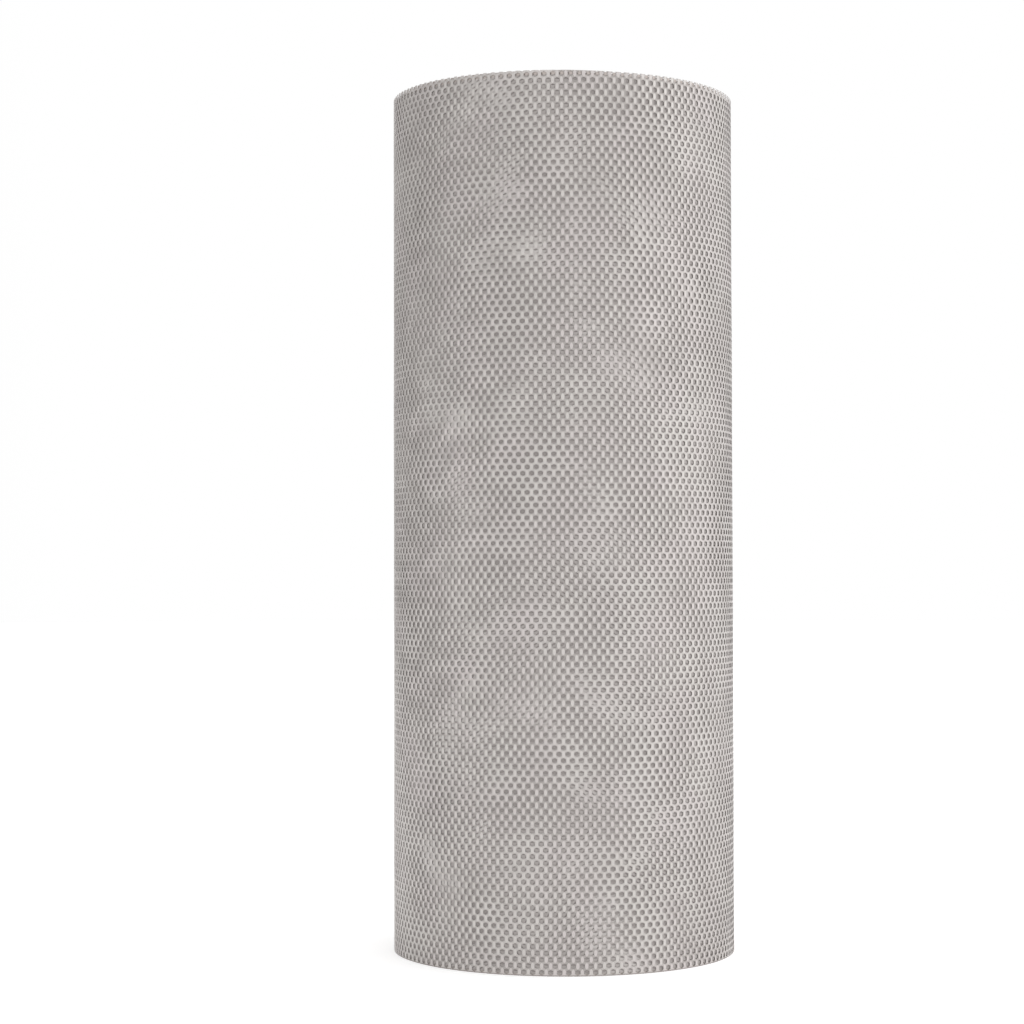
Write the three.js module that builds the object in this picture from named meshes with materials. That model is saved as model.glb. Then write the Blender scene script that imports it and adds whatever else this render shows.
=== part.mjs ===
// A roll of expanded aluminium mesh: one web, 500 mm wide and about 10 m long, wound on itself.
// Millimetres, +Z up along the roll's axis, origin at the centre of the end that it stands on.
// The web is a single strip, so the roll is one solid with an open bore. On both ends each turn
// shows its edge as a flat ring, with a groove between it and the next turn.

import * as THREE from "three";

// Driving dimensions
const webWidth = 500; // the roll's height as it stands
const boreRadius = 61; // left open by the bar that the web was wound on
const turnCount = 20;
const webThickness = 1.3; // over the tilted strands
const turnGap = 0.7; // air between one turn and the next
const grooveDepth = 3; // how far the gap between two turns is cut into each end
const facets = 40; // flat sides around the roll

// Worked out from them
const turnPitch = webThickness + turnGap;
const outerRadius = boreRadius + (turnCount - 1) * turnPitch + webThickness;

// The rim of one end, from the outer turn in to the bore, as (radius, height) points.
// inward is the way into the roll along its axis, 1 or -1.
function endProfile(level, inward) {
  const points = [];
  for (let turn = 0; turn < turnCount; turn += 1) {
    const outside = outerRadius - turn * turnPitch;
    const inside = outside - webThickness;
    points.push(new THREE.Vector2(outside, level));
    points.push(new THREE.Vector2(inside, level));
    if (turn < turnCount - 1) {
      points.push(new THREE.Vector2(inside - turnGap / 2, level + inward * grooveDepth));
    }
  }
  return points;
}

// The wound web, turned about its axis from a profile that closes on itself through the bore.
function woundWeb() {
  const foot = endProfile(0, 1).reverse();
  const head = endProfile(webWidth, -1);
  const profile = [...foot, ...head, foot[0].clone()];
  const geometry = new THREE.LatheGeometry(profile, facets);
  geometry.rotateX(Math.PI / 2);
  return geometry;
}

const aluminium = new THREE.MeshStandardMaterial({
  name: "aluminium_mesh",
  color: 0xc6c1bc,
  roughness: 0.55,
  metalness: 0.6,
});

const meshRoll = new THREE.Mesh(woundWeb(), aluminium);
meshRoll.name = "mesh_roll";

const group = new THREE.Group();
group.name = "roll_of_aluminium_mesh";
group.add(meshRoll);

export default group;
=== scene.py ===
"""A roll of expanded aluminium mesh that stands on its end, dressed for a render.

The outer turn is real mesh, row by row of bonds and strands, wound on the turns below it. The other turns
show their own edges at both ends of the roll. Between those edges they are one core, whose surface carries
the pattern of the layer that shows through the holes. Sizes are in metres.
"""

import math

import bpy
import numpy as np
from mathutils import Matrix, Vector


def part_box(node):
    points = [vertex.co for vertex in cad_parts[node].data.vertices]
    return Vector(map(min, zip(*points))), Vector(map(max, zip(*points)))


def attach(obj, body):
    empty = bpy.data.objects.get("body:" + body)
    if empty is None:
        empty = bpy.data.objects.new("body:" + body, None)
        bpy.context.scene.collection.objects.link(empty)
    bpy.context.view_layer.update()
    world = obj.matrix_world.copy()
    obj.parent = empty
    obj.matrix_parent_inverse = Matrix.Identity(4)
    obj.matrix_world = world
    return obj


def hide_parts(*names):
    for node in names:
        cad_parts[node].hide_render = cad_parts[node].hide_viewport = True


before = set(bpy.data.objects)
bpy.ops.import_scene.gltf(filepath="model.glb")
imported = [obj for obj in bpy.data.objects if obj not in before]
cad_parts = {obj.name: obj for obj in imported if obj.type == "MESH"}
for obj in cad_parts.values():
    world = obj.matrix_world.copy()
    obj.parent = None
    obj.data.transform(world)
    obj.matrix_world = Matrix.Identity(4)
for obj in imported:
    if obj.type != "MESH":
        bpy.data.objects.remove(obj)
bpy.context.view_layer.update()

MM = 0.001

# The roll, from the frame
LOW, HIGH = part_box("mesh_roll")
ROLL_RADIUS = float(HIGH[0] - LOW[0]) / 2
ROLL_HEIGHT = float(HIGH[2])

# The winding
BORE_RADIUS = 61 * MM
TURNS = 20
TURN_PITCH = 2.0 * MM
OUTER_PITCH = 0.66 * MM  # the outer turn lies closer on the one below it
FREE_END = math.radians(90)  # the web's loose end lies at the back, along +Y
FALL_START = 0.76  # share of a turn after which the web steps in under the turn before it
LEFT_SIDE = 0.25  # turns from the loose end to the -X side
SLACK = 0.03 * MM  # scale of the waves in the web
SLACK_CREST = 3.4  # the most that those waves add up to
DRIFT = 0.16 * MM  # scale of how far the holes stray round the roll

# The mesh as it lies flat: X along the web, Y up the roll, Z out of it
COLUMNS = 127  # holes round the outer turn
ROW = 3.517 * MM  # from one row of holes to the next, half the long way of a diamond
FIRST_ROW = 2.1 * MM  # height of the lowest whole row of holes
ROWS = 144  # the first and the last are cut through
BANDS = 4  # pieces that the outer turn is made in
BOND_WIDTH = 1.9 * MM
BOND_TIP = 1.97 * MM  # from a bond's middle to the point where its strands part
BOND_SHOULDER = 0.80 * MM  # and to the height where its sides end
BOND_TILT = math.radians(3)  # the left side of a bond stands out
METAL = 0.24 * MM  # thickness of the sheet
BOND_RISE = BOND_WIDTH / 2 * math.tan(BOND_TILT)
SWD = 2 * math.pi * (ROLL_RADIUS - BOND_RISE) / COLUMNS  # short way of a diamond, round the roll
LWD = 2 * ROW  # long way of a diamond, up the roll
MERGE = 0.02 * MM  # points of neighbouring bonds closer than this are one
WEB_CREASE = math.radians(28)  # edges of the mesh sharper than this stay sharp
HEAD_LIFT = 1.2 * MM  # the upper edge stands that much higher on the -X side
HEAD_LOW = -0.3  # share of it by which the edge lies lower on the +X side
HEAD_SINK = 1.2 * MM  # the rows under the edge lie that much lower on the -X side
SINK_START = 0.8  # share of the height where that begins
SINK_GROWTH = 5  # and its slope, which makes it whole at the edge
LAP_COLUMNS = 5  # how far the outer turn runs on under its loose end
LAP = LAP_COLUMNS * SWD / ROLL_RADIUS  # the same as an angle
HOLE_HALF = (1.45 * MM, 1.40 * MM)  # half the width and half the height of a hole

# The inner turns
HEAD_EDGE = 2.8 * MM  # height of their real mesh at the upper end
FOOT_EDGE = 1.7 * MM  # and at the lower one
EDGE_ROWS = 4  # rows that it is cut from
EDGE_SUNK = 0.4 * MM  # how far it goes into the core
EDGE_IN = 0.25  # millimetres that it lies in from the outer turn's edge
EDGE_UNEVEN = 0.3  # and millimetres more, up to twice this, from turn to turn
CORE_ABOVE_WEB = 0.1 * MM
CORE_SIDES = 240
CORE_CREASE = math.radians(30)
SECOND_COLUMNS = 124  # holes round the second turn
BORE_COLUMNS = 77  # holes round the innermost


def only(piece):
    """Selects this piece and no other, and makes it active."""
    bpy.ops.object.select_all(action="DESELECT")
    piece.select_set(True)
    bpy.context.view_layer.objects.active = piece


def edit(piece, kind="VERT"):
    """Opens a piece in edit mode with nothing selected."""
    only(piece)
    bpy.ops.object.mode_set(mode="EDIT")
    bpy.ops.mesh.select_mode(type=kind)
    bpy.ops.mesh.select_all(action="DESELECT")


def leave_edit():
    """Back to object mode, with the selection kept."""
    bpy.ops.object.mode_set(mode="OBJECT")


def points_of(piece):
    """The places of a piece's vertices, one row each."""
    places = np.empty(len(piece.data.vertices) * 3, np.float64)
    piece.data.vertices.foreach_get("co", places)
    return places.reshape(-1, 3)


def set_points(piece, places):
    """Moves a piece's vertices to these places."""
    piece.data.vertices.foreach_set("co", np.ascontiguousarray(places, np.float32).ravel())
    piece.data.update()


def repeat(piece, count, step):
    """Repeats a piece count times, a step apart, as one mesh."""
    only(piece)
    array = piece.modifiers.new("repeat", "ARRAY")
    array.count = count
    array.use_relative_offset = False
    array.use_constant_offset = True
    array.constant_offset_displace = step
    bpy.ops.object.modifier_apply(modifier=array.name)


# The mesh

def bond_with_strands():
    """One tilted bond, with the two strands that rise from it to the bonds of the next row."""
    bpy.ops.object.select_all(action="DESELECT")
    bpy.ops.mesh.primitive_circle_add(vertices=6, radius=1, fill_type="NGON")
    bond = bpy.context.object
    half_width = BOND_WIDTH / 2
    flat_side = math.cos(math.radians(30))  # half width of a hexagon of radius 1
    edit(bond)
    bpy.ops.mesh.select_all(action="SELECT")
    bpy.ops.transform.resize(value=(half_width / flat_side, BOND_TIP, 1))
    leave_edit()
    places = points_of(bond)
    beside = np.abs(places[:, 1]) < BOND_TIP * 0.9
    places[beside, 1] = np.sign(places[beside, 1]) * BOND_SHOULDER
    places[:, 2] = -places[:, 0] * math.tan(BOND_TILT)
    set_points(bond, places)
    for way in (1, -1):
        draw_strand(bond, way)
    return bond


def draw_strand(bond, way):
    """Extrudes a bond's upper edge to the bond of the next row, to the right (1) or the left (-1)."""
    half_width = BOND_WIDTH / 2
    across, up, _ = points_of(bond).T
    upper = (up > BOND_SHOULDER * 0.99) & (up < BOND_TIP * 1.01) & (np.abs(across) < half_width * 1.01)
    edit(bond)
    leave_edit()
    bond.data.vertices.foreach_set("select", upper & (across * way > -half_width / 2))
    bpy.ops.object.mode_set(mode="EDIT")
    reach = (way * (SWD / 2 - half_width), ROW - BOND_TIP - BOND_SHOULDER, way * BOND_RISE)
    bpy.ops.mesh.extrude_edges_move(TRANSFORM_OT_translate={"value": reach})
    leave_edit()


def flat_web(name, columns, rows, first_row, first_length=0.0):
    """A flat stretch of mesh from a length along the web on, cut at the web's edges where it reaches them."""
    web = bond_with_strands()
    web.name = web.data.name = name
    repeat(web, 2, (SWD / 2, ROW, 0))
    repeat(web, columns, (SWD, 0, 0))
    repeat(web, rows // 2, (0, LWD, 0))
    start = FIRST_ROW + (first_row - 1) * ROW
    edit(web)
    bpy.ops.mesh.select_all(action="SELECT")
    bpy.ops.mesh.remove_doubles(threshold=MERGE)
    bpy.ops.mesh.select_all(action="SELECT")
    bpy.ops.transform.translate(value=(0, start, 0))
    if first_row == 0:
        cut_edge(0, -1)
    leave_edit()
    if first_row + rows == ROWS:
        trim_head(web, first_length)
    return web


def leftward(length):
    """How far a place on the web faces -X: 1 on that side, down to a shallow low on the other."""
    return np.maximum(np.cos(2 * math.pi * (turn_at(length) - LEFT_SIDE)), HEAD_LOW)


def trim_head(web, first_length):
    """Slits the upper edge, which runs a little out of square over the rows and cuts into their holes."""
    along, up, out = points_of(web).T
    left = leftward(along + first_length)
    near_edge = np.clip((up / ROLL_HEIGHT - SINK_START) * SINK_GROWTH, 0, 1)
    sunk = HEAD_SINK * near_edge * left
    set_points(web, np.stack([along, up - sunk - HEAD_LIFT * left, out], axis=1))
    edit(web)
    cut_edge(ROLL_HEIGHT, 1)
    leave_edit()
    along, up, out = points_of(web).T
    left = leftward(along + first_length)
    set_points(web, np.stack([along, up + HEAD_LIFT * left, out], axis=1))


def cut_edge(height, way):
    """Slits the open web at a height and drops what lies above (1) or below (-1) it."""
    bpy.ops.mesh.select_all(action="SELECT")
    bpy.ops.mesh.bisect(plane_co=(0, height, 0), plane_no=(0, way, 0), clear_outer=True)


MAP_MARGIN = 0.5 * MM  # left free round the mesh on its own map
WALL_SHIFT = 0.3 * MM  # a wall's back edge lies that far into the hole there


def give_thickness(web):
    """Thickens the sheet inwards and lays out its own map: front, back, and walls in the holes."""
    front_points = len(web.data.vertices)
    only(web)
    solid = web.modifiers.new("metal", "SOLIDIFY")
    solid.thickness = METAL
    solid.offset = -1
    solid.use_even_offset = True
    bpy.ops.object.modifier_apply(modifier=solid.name)
    mesh = web.data
    places = points_of(web)
    corners = np.empty(len(mesh.loops), np.int64)
    mesh.loops.foreach_get("vertex_index", corners)
    sides = np.empty(len(mesh.polygons), np.int64)
    mesh.polygons.foreach_get("loop_total", sides)
    normals = np.empty(len(mesh.polygons) * 3)
    mesh.polygons.foreach_get("normal", normals)
    facing = np.repeat(normals.reshape(-1, 3), sides, axis=0)
    behind = corners >= front_points
    face = np.repeat(np.arange(len(sides)), sides)
    back_corners = np.bincount(face, behind)[face]
    wall = (back_corners > 0) & (back_corners < sides[face])
    spot = places[corners, :2]
    spot[wall & behind] += facing[wall & behind, :2] * WALL_SHIFT
    low = places[:, :2].min(axis=0) - MAP_MARGIN
    span = places[:, :2].max(axis=0) + MAP_MARGIN - low
    spot = (spot - low) / span
    spot[:, 0] = spot[:, 0] / 2 + np.where(behind & ~wall, 0.5, 0.0)
    layout = mesh.uv_layers.new(name="OFBake")
    layout.data.foreach_set("uv", spot.ravel())
    bonds = mesh.attributes.new("bond", "FLOAT", "FACE")
    hexagons = sides > 4  # strands and walls have four sides
    bonds.data.foreach_set("value", hexagons.astype(np.float32))


def web_radius(turn):
    """Radius of the web's outer face that many turns from its loose end."""
    whole = np.floor(turn)
    fall = np.clip((turn - whole - FALL_START) / (1 - FALL_START), 0, 1)
    wound = whole + fall * fall * (3 - 2 * fall)
    return ROLL_RADIUS - np.interp(wound, (0, 1, TURNS - 1), (0, OUTER_PITCH, (TURNS - 1) * TURN_PITCH))


def turn_at(length):
    """How many turns from the loose end a length along the web lies."""
    turn = np.linspace(0, TURNS + 1, (TURNS + 1) * 360 + 1)
    arc = 2 * math.pi * (web_radius(turn) - BOND_RISE)
    run = np.concatenate(([0], np.cumsum((arc[1:] + arc[:-1]) / 2 * np.diff(turn))))
    return np.interp(length, run, turn)


def slack(turn, up):
    """How far a hand-wound web stands in from its true radius: long, shallow waves."""
    angle = 2 * math.pi * turn
    wave = np.sin(5 * angle + 17 * up + 0.4) + np.sin(9 * angle - 31 * up + 2.1)
    wave += 0.8 * np.sin(14 * angle + 52 * up) + 0.6 * np.sin(3 * angle - 75 * up + 1.0)
    return SLACK * (wave - SLACK_CREST)


def wind(web, first_length=0.0):
    """Winds a flat web round the roll's axis, the inner turns' edges a little in from the outer one's."""
    along, up, out = points_of(web).T
    drift = DRIFT * (np.sin(along * 41 + up * 19) + np.sin(up * 47 - along * 23 + 1.3))
    turn = turn_at(along + first_length)
    angle = FREE_END + 2 * math.pi * turn + drift / ROLL_RADIUS
    radius = web_radius(turn) - BOND_RISE + out + slack(turn, up)
    inner = np.clip(turn - 1, 0, 1)
    uneven = 1 + np.sin(turn * 2.3) * np.cos(turn * 0.9 + 1)
    rise = inner * (EDGE_IN + EDGE_UNEVEN * uneven) * MM
    rise = np.where(up > ROLL_HEIGHT / 2, -rise, rise)
    set_points(web, np.stack([radius * np.cos(angle), radius * np.sin(angle), up + rise], axis=1))


def finish_web(web, first_length=0.0):
    """Gives a flat web its metal and winds it on the roll."""
    give_thickness(web)
    wind(web, first_length)
    only(web)
    bpy.ops.object.shade_smooth_by_angle(angle=WEB_CREASE)
    return web


def outer_turn():
    """The outer turn as bands of real mesh, one above the other."""
    rows = ROWS // BANDS
    bands = []
    for index in range(BANDS):
        web = flat_web(f"outer_turn_{index + 1}", COLUMNS + LAP_COLUMNS, rows, index * rows)
        bands.append(finish_web(web))
    return bands


def turn_edges():
    """The edges of the inner turns at both ends of the roll, as real mesh."""
    start = (COLUMNS + LAP_COLUMNS) * SWD
    turn = np.linspace(start / (COLUMNS * SWD), TURNS, 2000)
    length = float(np.mean(web_radius(turn)) * 2 * math.pi * (TURNS - turn[0]))
    columns = int(length / SWD)
    foot = flat_web("turn_edges_foot", columns, EDGE_ROWS, 0)
    head = flat_web("turn_edges_head", columns, EDGE_ROWS, ROWS - EDGE_ROWS, start)
    for web, height, way in ((foot, FOOT_EDGE, 1), (head, ROLL_HEIGHT - HEAD_EDGE, -1)):
        edit(web)
        cut_edge(height, way)
        leave_edit()
        finish_web(web, start)
    return [foot, head]


def inner_turns():
    """The turns under the outer one, as a core with the bore through it and a step under the loose end."""
    low = FOOT_EDGE - EDGE_SUNK
    high = ROLL_HEIGHT - HEAD_EDGE + EDGE_SUNK
    depth = high - low
    middle = (0, 0, (low + high) / 2)
    outside = ROLL_RADIUS - TURN_PITCH
    bpy.ops.object.select_all(action="DESELECT")
    bpy.ops.mesh.primitive_cylinder_add(vertices=CORE_SIDES, radius=outside, depth=depth, location=middle)
    core = bpy.context.object
    core.name = core.data.name = "inner_turns"
    only(core)
    bpy.ops.object.transform_apply(location=True, rotation=True, scale=True)
    edit(core, "FACE")
    leave_edit()
    for face in core.data.polygons:
        face.select = abs(face.normal.z) > 0.9
    bpy.ops.object.mode_set(mode="EDIT")
    bpy.ops.mesh.inset(thickness=outside - BORE_RADIUS, use_individual=True)
    bpy.ops.mesh.bridge_edge_loops()
    leave_edit()
    places = points_of(core)
    radius = np.hypot(places[:, 0], places[:, 1])
    angle = np.arctan2(places[:, 1], places[:, 0])
    turn = ((angle - FREE_END - LAP) / (2 * math.pi)) % 1 + LAP / (2 * math.pi)
    wound = web_radius(turn + 1) + CORE_ABOVE_WEB
    grown = np.where(radius > (outside + BORE_RADIUS) / 2, wound / radius, 1)
    places[:, :2] *= grown[:, None]
    set_points(core, places)
    return core


# Materials

class Value:
    """A number that varies over a surface. Arithmetic on it adds the nodes that work it out."""

    def __init__(self, nodes, socket):
        self.nodes = nodes
        self.socket = socket

    def math(self, operation, *others):
        """A Math node on this number and the others."""
        sockets = dict(enumerate((self, *others)))
        return self.nodes.add("ShaderNodeMath", {"operation": operation}, sockets)

    def __add__(self, other):
        return self.math("ADD", other)

    __radd__ = __add__

    def __sub__(self, other):
        return self.math("SUBTRACT", other)

    def __rsub__(self, other):
        return self.nodes.add("ShaderNodeMath", {"operation": "SUBTRACT"}, {0: other, 1: self})

    def __mul__(self, other):
        return self.math("MULTIPLY", other)

    __rmul__ = __mul__

    def __truediv__(self, other):
        return self.math("DIVIDE", other)

    def between(self, low, high):
        """A smooth ramp: 0 up to low, 1 from high on."""
        settings = {"interpolation_type": "SMOOTHSTEP"}
        sockets = {"Value": self, "From Min": low, "From Max": high}
        return self.nodes.add("ShaderNodeMapRange", settings, sockets)


class Nodes:
    """The node tree of a material or a world under construction."""

    def __init__(self, tree):
        self.tree = tree

    def add(self, kind, settings=None, sockets=None, out=0):
        """Adds a node: its settings first, then the values or links of its sockets."""
        node = self.tree.nodes.new(kind)
        for key, value in (settings or {}).items():
            setattr(node, key, value)
        for key, value in (sockets or {}).items():
            self.feed(node.inputs[key], value)
        return Value(self, node.outputs[out])

    def feed(self, socket, value):
        """Links a value to a socket, or sets a plain number or colour on it."""
        if isinstance(value, Value):
            self.tree.links.new(value.socket, socket)
        else:
            socket.default_value = value

    def mix(self, share, first, second):
        """A colour between two."""
        return self.add("ShaderNodeMix", {"data_type": "RGBA"}, {0: share, 6: first, 7: second}, out=2)

    def place(self, axis):
        """A coordinate of the point on the piece."""
        spot = self.add("ShaderNodeTexCoord", out="Object")
        return self.add("ShaderNodeSeparateXYZ", None, {0: spot}, out=axis)

    def noise(self, scale, detail=2.0, roughness=0.5, out="Fac"):
        """Soft random patches, about one over scale of a metre across."""
        spot = self.add("ShaderNodeTexCoord", out="Object")
        sockets = {"Vector": spot, "Scale": scale, "Detail": detail, "Roughness": roughness}
        return self.add("ShaderNodeTexNoise", None, sockets, out=out)


def new_finish(name, metallic, roughness):
    """A material with a Principled shader, the shader, and the node tree."""
    finish = bpy.data.materials.new(name)
    finish.use_nodes = True
    shader = finish.node_tree.nodes["Principled BSDF"]
    shader.inputs["Metallic"].default_value = metallic
    shader.inputs["Roughness"].default_value = roughness
    return finish, shader, Nodes(finish.node_tree)


LIGHT_METAL = (0.58, 0.552, 0.530, 1)
PINK_METAL = (0.578, 0.536, 0.526, 1)
DULL_AND_SHADE_METAL = (0.415, 0.386, 0.370, 1)  # duller metal where it was handled, also painted shade on the strands so the bonds read as glints
CONTACT_SHADE_METAL = (0.24, 0.215, 0.20, 1)  # painted contact shadow, where it stands on the floor
CONTACT_SHADE_HEIGHT = (0.2 * MM, 1.1 * MM)  # the painted shadow fades out between these heights
INNER_SHADE_METAL = (0.50, 0.446, 0.418, 1)  # the slit edges of the inner turns, painted darker and warmer as the shade deep in the roll
SHADED_METAL = (0.36, 0.332, 0.318, 1)  # the second layer, in the outer turn's shade
LIGHTER_SHADE_METAL = (0.50, 0.47, 0.452, 1)  # and painted lighter in random patches, as less shade
GAP_SHADE_COLOUR = (0.275, 0.251, 0.240, 1)  # painted shade in the second layer's holes and in the gaps between turns
SECOND_STRAY = 5 * MM  # how far the second layer's rows stray from the outer turn's


def mill_aluminium(name, light, pink):
    """Bare strands: pale, faintly pink in patches, duller where handled; the strands carry painted shade in
    patches so the bonds look glinting, and the foot a painted contact shadow.
    """
    finish, shader, nodes = new_finish(name, 0.5, 0.45)
    patches = nodes.noise(34, 2).between(0.38, 0.66)
    tinted = nodes.mix(patches, light, pink)
    bond = nodes.add("ShaderNodeAttribute", {"attribute_name": "bond"}, out=2)
    # painted shade: the strands, not the bonds, darkened in patches, so that the bonds look like glints
    strand_shade = (1 - bond) * (nodes.noise(38, 1.5).between(0.35, 0.62) * 0.65 + 0.3)
    handled = nodes.noise(16, 2.5, 0.6).between(0.52, 0.74) * 0.3
    dull_and_shade = nodes.noise(420, 2, 0.6).between(0.50, 0.85) * 0.35 + strand_shade + handled
    # painted contact shadow: the lowest millimetre darkened where the roll stands on the floor
    foot_shade = (1 - nodes.place(2).between(*CONTACT_SHADE_HEIGHT)) * 0.8
    worn_and_shaded = nodes.mix(dull_and_shade, tinted, DULL_AND_SHADE_METAL)
    nodes.feed(shader.inputs["Base Color"], nodes.mix(foot_shade, worn_and_shaded, CONTACT_SHADE_METAL))
    roughness = nodes.noise(260, 2).between(0.2, 0.8) * 0.14 - bond * 0.13 + 0.46
    nodes.feed(shader.inputs["Roughness"], roughness)
    dents = {"Strength": 1.0, "Distance": 2.4 * MM, "Height": nodes.noise(62, 1)}
    dented = nodes.add("ShaderNodeBump", None, dents)
    grain = {"Strength": 0.35, "Distance": 0.08 * MM, "Height": nodes.noise(1900, 2), "Normal": dented}
    nodes.feed(shader.inputs["Normal"], nodes.add("ShaderNodeBump", None, grain))
    return finish


def hole_distance(across, up, half_across, half_up):
    """Squared distance to the nearest hole of a staggered row, 1 at its rim."""
    nearest = None
    for shift in (0.0, 0.5):
        x = ((across + shift).math("FRACT") - 0.5) * (SWD / half_across)
        y = ((up + shift).math("FRACT") - 0.5) * (LWD / half_up)
        square = x * x + y * y
        nearest = square if nearest is None else nearest.math("MINIMUM", square)
    return nearest


def layered_mesh(name, columns, wander):
    """A layer of mesh as a surface: strands round holes painted dark as shade, in rows that stray by as much
    as wander.
    """
    finish, shader, nodes = new_finish(name, 0.2, 0.5)
    angle = nodes.place(1).math("ARCTAN2", nodes.place(0))
    stray = nodes.noise(24, 1.0, out="Color")
    stray_across = nodes.add("ShaderNodeSeparateColor", None, {0: stray}, out=0)
    stray_up = nodes.add("ShaderNodeSeparateColor", None, {0: stray}, out=1)
    across = angle * (columns / (2 * math.pi)) + (stray_across - 0.5) * (wander / SWD)
    up = nodes.place(2) * (1 / LWD) + (stray_up - 0.5) * (wander / LWD)
    distance = hole_distance(across, up, *HOLE_HALF)
    # painted shade: the holes darker than the strands round them
    metal = distance.between(0.72, 1.3)
    # painted light: the second layer's strands lighter in random patches
    lighter_shade = nodes.noise(27, 2.5, 0.6).between(0.54, 0.68)
    strands = nodes.mix(lighter_shade, SHADED_METAL, LIGHTER_SHADE_METAL)
    nodes.feed(shader.inputs["Base Color"], nodes.mix(metal, GAP_SHADE_COLOUR, strands))
    bump = nodes.add("ShaderNodeBump", None, {"Strength": 0.7, "Distance": 0.35 * MM, "Height": metal})
    nodes.feed(shader.inputs["Normal"], bump)
    return finish


def wound_layers():
    """The ends of the core, deep between the turns: one fine line of painted shade for each turn."""
    finish, shader, nodes = new_finish("wound_layers", 0.35, 0.55)
    x, y = nodes.place(0), nodes.place(1)
    radius = (x * x + y * y).math("SQRT")
    turn = radius * (1 / TURN_PITCH) + y.math("ARCTAN2", x) * (1 / (2 * math.pi))
    # painted shade in the gaps between the turns
    turn_gap_shade = (turn.math("FRACT") - 0.5).math("ABSOLUTE").between(0.22, 0.38)
    nodes.feed(shader.inputs["Base Color"], nodes.mix(turn_gap_shade, DULL_AND_SHADE_METAL, GAP_SHADE_COLOUR))
    return finish


OUTER_SIDE, END_FACE, BORE_SIDE = 0, 1, 2  # the core's kinds of face, as its finishes are numbered


def dress(bands, edges, core):
    """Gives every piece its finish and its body."""
    bare = mill_aluminium("mill_aluminium", LIGHT_METAL, PINK_METAL)
    # a darker copy of the bare metal: painted shade on the inner turns' edges
    slit = mill_aluminium("shaded_slits", INNER_SHADE_METAL, INNER_SHADE_METAL)
    pieces = bands + edges
    for piece in pieces:
        piece.data.materials.append(slit if piece in edges else bare)
    core.data.materials.append(layered_mesh("second_turn", SECOND_COLUMNS, SECOND_STRAY))
    core.data.materials.append(wound_layers())
    core.data.materials.append(layered_mesh("bore_turn", BORE_COLUMNS, 0.0))
    for face in core.data.polygons:
        level = abs(face.normal.z) > 0.5
        inside = math.hypot(face.center.x, face.center.y) < (ROLL_RADIUS + BORE_RADIUS) / 2
        face.material_index = END_FACE if level else BORE_SIDE if inside else OUTER_SIDE
    only(core)
    bpy.ops.object.shade_smooth_by_angle(angle=CORE_CREASE)
    for piece in (*pieces, core):
        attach(piece, "root")
        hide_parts("mesh_roll")


# Places on the core's own map: left, low, width and height
OUTER_MAP = (0.01, 0.01, 0.72, 0.485)
BORE_MAP = (0.01, 0.505, 0.45, 0.485)
END_MAP = (0.86, 0.14)  # the middle of the lower end
END_STEP = 0.27  # the upper end lies that much higher
END_SCALE = 0.95


def lay_out_core(core):
    """The core's own map: outer side and bore side unrolled one above the other, the ends beside them."""
    mesh = core.data
    layout = mesh.uv_layers.new(name="OFBake")
    for face in mesh.polygons:
        kind = face.material_index
        left, low, width, height = OUTER_MAP if kind == OUTER_SIDE else BORE_MAP
        centre_angle = math.atan2(face.center.y, face.center.x)
        for loop in face.loop_indices:
            x, y, z = mesh.vertices[mesh.loops[loop].vertex_index].co
            if kind == END_FACE:
                step = END_STEP if face.normal.z > 0 else 0.0
                layout.data[loop].uv = (END_MAP[0] + x * END_SCALE, END_MAP[1] + step + y * END_SCALE)
                continue
            angle = centre_angle + math.remainder(math.atan2(y, x) - centre_angle, 2 * math.pi)
            share = angle / (2 * math.pi) + 0.5
            layout.data[loop].uv = (left + width * share, low + height * z / ROLL_HEIGHT)


# The photograph's view and light

CAMERA_DISTANCE = 13.977 * ROLL_RADIUS
CAMERA_HEIGHT = 2.222 * ROLL_RADIUS
CAMERA_PITCH = math.radians(1.416)
CAMERA_YAW = math.radians(1.235)
CAMERA_ROLL = math.radians(-0.106)
FOCAL_PIXELS = 2361.7
FRAME_PIXELS = 1024
SENSOR_WIDTH = 36

# The walls are the world's light, by how far to the right a direction points, from -1 to 1
LEFT_WALL = (0.45, 0.45, 0.45, 1)
WHITE_WALL = (1, 1, 1, 1)
RIGHT_WALL = (1.55, 1.55, 1.55, 1)
LEFT_FADE = (-0.75, -0.20)  # from the left wall's light to the white one's
RIGHT_FADE = (0.5, 1.05)  # and from there to the right wall's
FLOOR_GLOW = 0.4
# The soft boxes: azimuth, distance, height, width, tallness, power
KEY = (72, 2.2, 0.9, 2.4, 1.8, 1.2)
STRIP = (-60, 1.7, 0.3, 0.8, 1.2, 1.6)


def add_camera():
    """A long lens level with the lower half of the roll, turned a little to the left of it."""
    data = bpy.data.cameras.new("camera")
    data.sensor_width = SENSOR_WIDTH
    data.lens = FOCAL_PIXELS / FRAME_PIXELS * data.sensor_width
    camera = bpy.data.objects.new("camera", data)
    bpy.context.scene.collection.objects.link(camera)
    turn = Matrix.Rotation(CAMERA_YAW, 4, "Z") @ Matrix.Rotation(math.pi / 2 + CAMERA_PITCH, 4, "X")
    turn = turn @ Matrix.Rotation(CAMERA_ROLL, 4, "Z")
    camera.matrix_world = Matrix.Translation((0, -CAMERA_DISTANCE, CAMERA_HEIGHT)) @ turn
    bpy.context.scene.camera = camera


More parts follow.
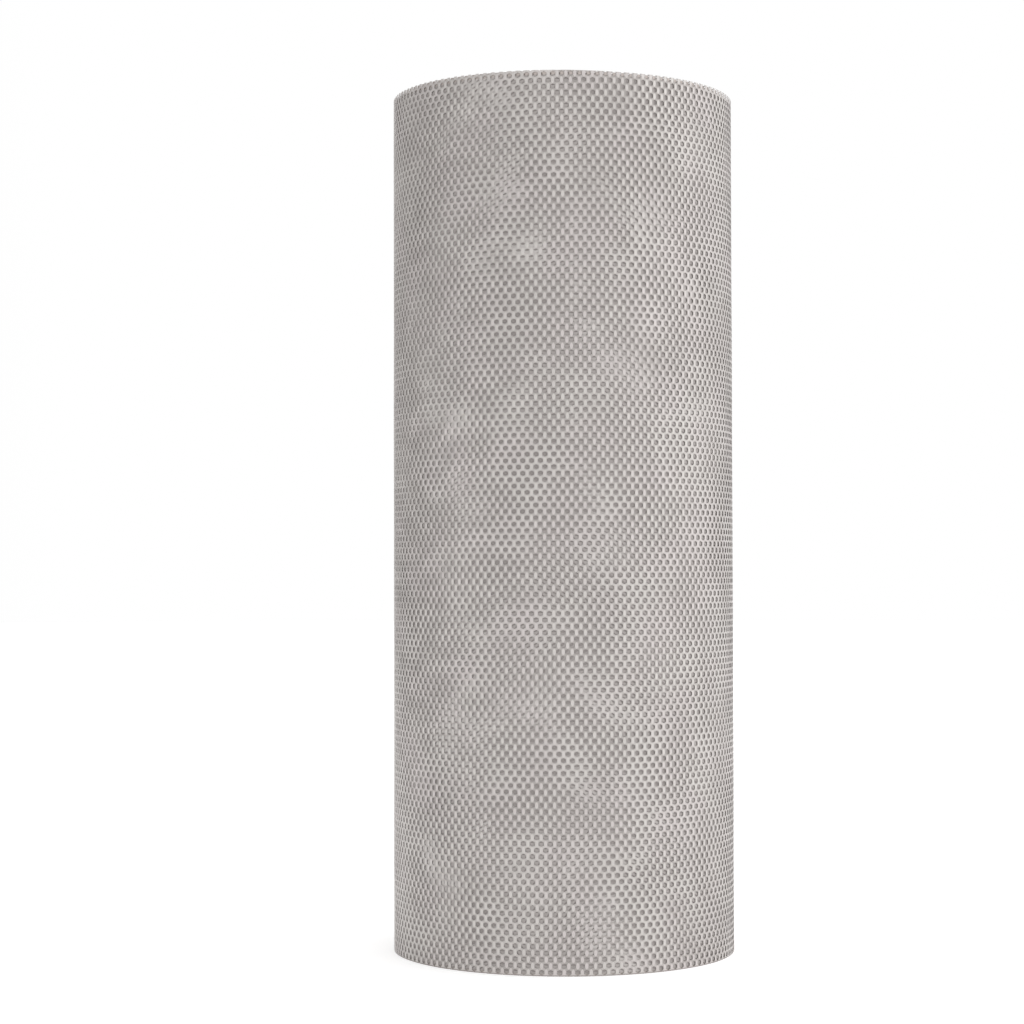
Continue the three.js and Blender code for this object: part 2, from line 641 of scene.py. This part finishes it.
def add_soft_box(name, azimuth, distance, height, width, tall, power):
    """A rectangular lamp that faces the roll's middle. Azimuth 0 is the camera's side and 90 its right."""
    lamp = bpy.data.lights.new(name, "AREA")
    lamp.shape = "RECTANGLE"
    lamp.size = width
    lamp.size_y = tall
    lamp.energy = power
    box = bpy.data.objects.new(name, lamp)
    bpy.context.scene.collection.objects.link(box)
    turn = math.radians(azimuth)
    box.location = (distance * math.sin(turn), -distance * math.cos(turn), height)
    aim = Vector((0, 0, ROLL_HEIGHT / 2)) - box.location
    box.rotation_euler = aim.to_track_quat("-Z", "Y").to_euler()


def add_studio():
    """White walls, dimmer at the left and brighter at the right, two faint soft boxes and a pale floor."""
    world = bpy.data.worlds.new("studio")
    bpy.context.scene.world = world
    world.use_nodes = True
    nodes = Nodes(world.node_tree)
    spot = nodes.add("ShaderNodeTexCoord", out="Generated")
    rightward = nodes.add("ShaderNodeSeparateXYZ", None, {0: spot}, out=0)
    background = world.node_tree.nodes["Background"]
    left_part = nodes.mix(rightward.between(*LEFT_FADE), LEFT_WALL, WHITE_WALL)
    walls = nodes.mix(rightward.between(*RIGHT_FADE), left_part, RIGHT_WALL)
    nodes.feed(background.inputs["Color"], walls)
    background.inputs["Strength"].default_value = 1.0
    add_soft_box("key", *KEY)
    add_soft_box("strip", *STRIP)
    bpy.ops.object.select_all(action="DESELECT")
    bpy.ops.mesh.primitive_circle_add(vertices=64, radius=9, fill_type="NGON")
    floor = bpy.context.object
    floor.name = "floor"
    paint, shader, _ = new_finish("floor_paint", 0.0, 0.9)
    shader.inputs["Base Color"].default_value = (0.9, 0.9, 0.9, 1)
    shader.inputs["Emission Color"].default_value = (1, 1, 1, 1)
    shader.inputs["Emission Strength"].default_value = FLOOR_GLOW
    floor.data.materials.append(paint)
    bpy.context.scene.view_settings.view_transform = "Standard"


add_camera()
outer_bands = outer_turn()
inner_edges = turn_edges()
wound_core = inner_turns()
dress(outer_bands, inner_edges, wound_core)
lay_out_core(wound_core)
add_studio()
